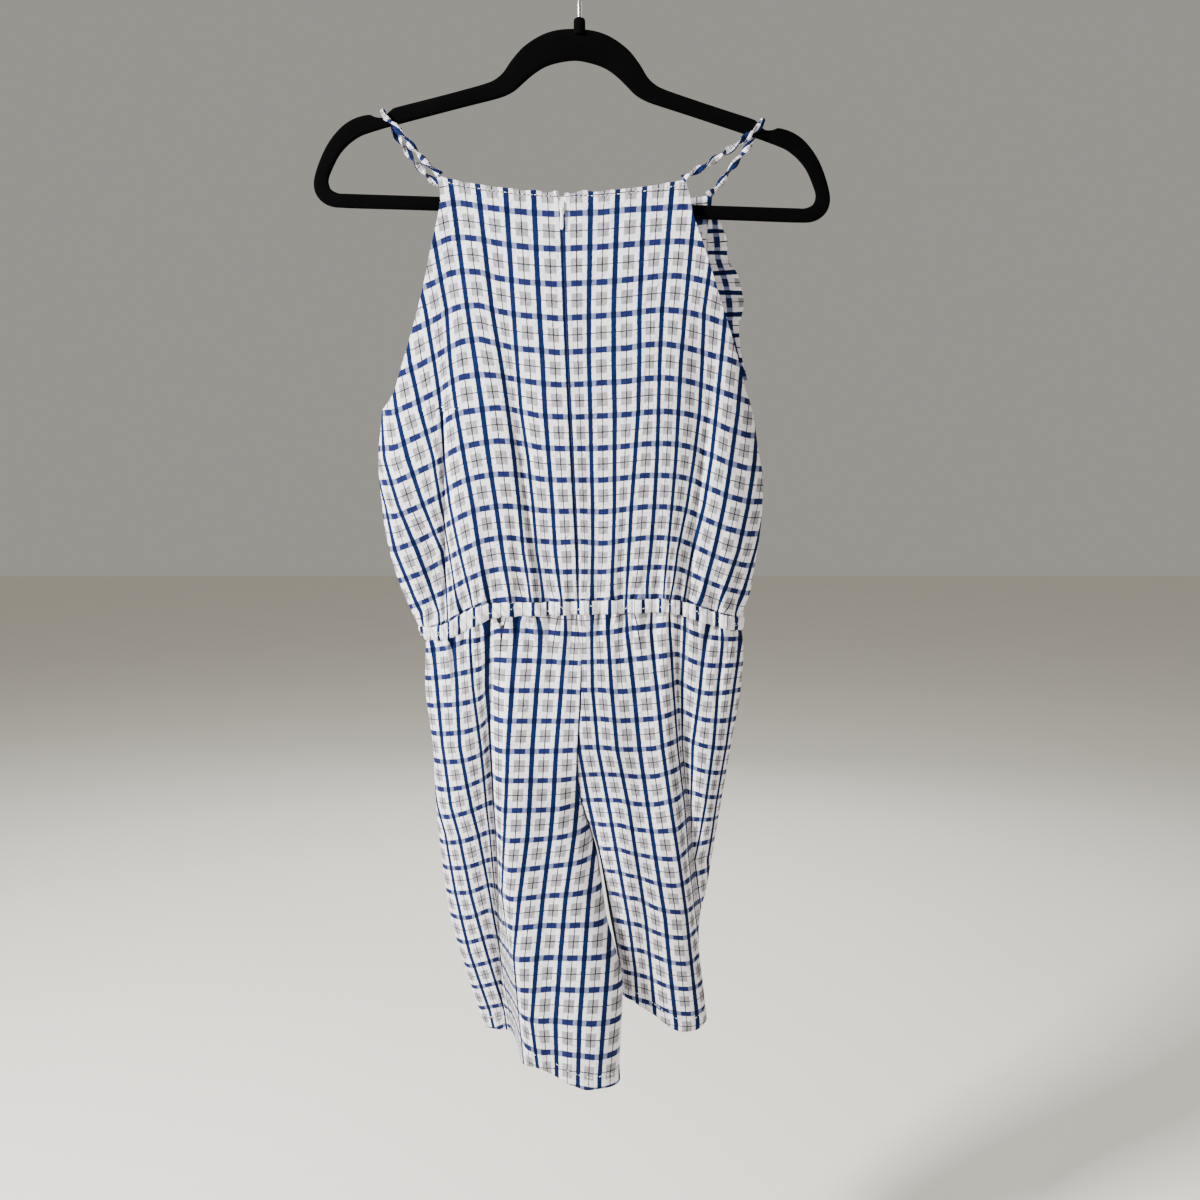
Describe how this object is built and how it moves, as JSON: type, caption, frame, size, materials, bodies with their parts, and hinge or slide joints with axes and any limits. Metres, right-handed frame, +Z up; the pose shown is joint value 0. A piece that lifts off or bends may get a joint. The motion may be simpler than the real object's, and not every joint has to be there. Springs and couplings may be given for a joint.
{
  "type": "playsuit on a clothes hanger",
  "caption": "Strappy check playsuit with an elastic waist, a back zip and two wide shorts legs, hung on a slim flocked clothes hanger.",
  "frame": {"origin": "inner top of the hanger hook's loop, where the hook bears on a rail or nail", "axes": "+Z up, +X to the right as seen from the garment's back, +Y towards the garment's front; the zipped back faces -Y"},
  "size_m": [0.4458, 0.0811, 0.9993],
  "materials": {
    "check_cloth": "matt crinkled cloth, white with a blue and grey check",
    "zip_tape": "white woven tape",
    "zip_white": "white, slightly glossy",
    "hanger_flock": "black flocking on a moulded hanger",
    "hook_wire": "silvery round wire"
  },
  "bodies": {
    "garment": {"back_bodice_left": "check_cloth", "back_bodice_right": "check_cloth", "front_bodice": "check_cloth", "ruffle_left": "check_cloth", "ruffle_right": "check_cloth", "strap_left": "check_cloth", "strap_right": "check_cloth", "waist_casing": "check_cloth", "back_leg_left": "check_cloth", "back_leg_right": "check_cloth", "front_leg_left": "check_cloth", "front_leg_right": "check_cloth", "zip_tape": "zip_tape", "zip_slider": "zip_white", "hanger_frame": "hanger_flock", "hanger_hook": "hook_wire"},
    "zip_pull": {"zip_pull": "zip_white"}
  },
  "joints": [
    {"name": "pull_swing", "type": "hinge", "parent": "garment", "child": "zip_pull", "pos_m": [-0.0151, -0.01597, -0.228], "axis": [-1, 0, 0], "range_deg": [0, 150]}
  ]
}
